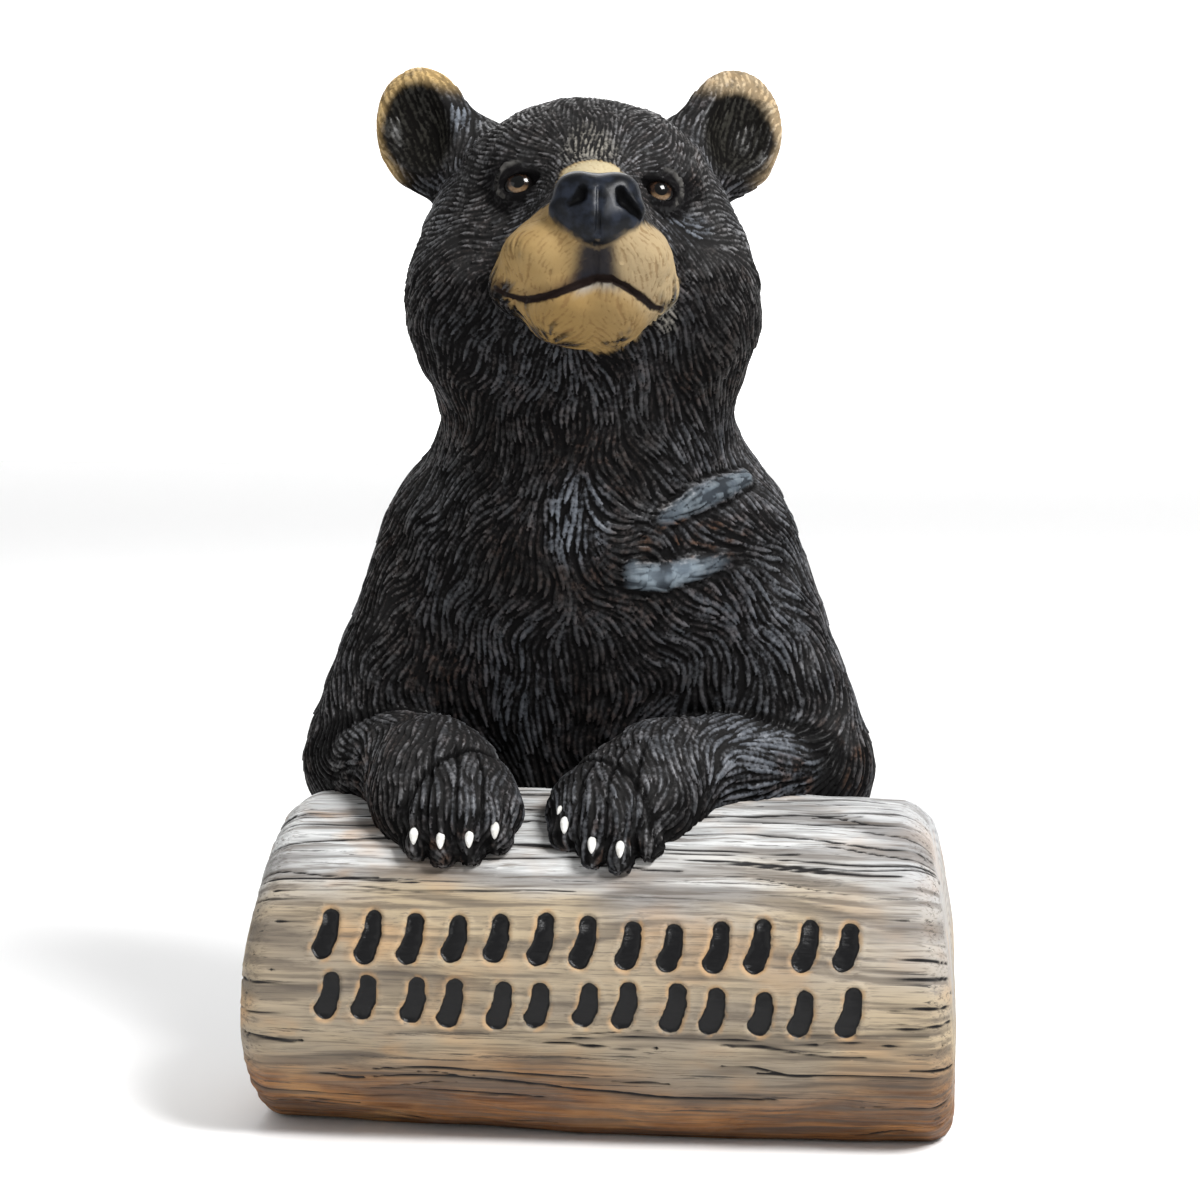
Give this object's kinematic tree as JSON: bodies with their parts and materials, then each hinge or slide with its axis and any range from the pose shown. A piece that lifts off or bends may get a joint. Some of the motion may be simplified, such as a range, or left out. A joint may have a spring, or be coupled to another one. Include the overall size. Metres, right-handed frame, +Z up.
{
  "type": "bear garden sculpture",
  "caption": "Cast resin garden statue of a black bear with a tan muzzle, leaning its forearms and paws on a short weathered log that carries two rows of short carved strokes",
  "frame": {"origin": "middle of the bounding box's footprint, on the ground that the statue stands on", "axes": "+Z up, the bear faces -Y, the log runs along X"},
  "size_m": [0.228, 0.1688, 0.3442],
  "materials": {
    "painted_resin": "matte painted cast resin"
  },
  "bodies": {
    "root": {"bear_on_log": "painted_resin"}
  },
  "joints": []
}
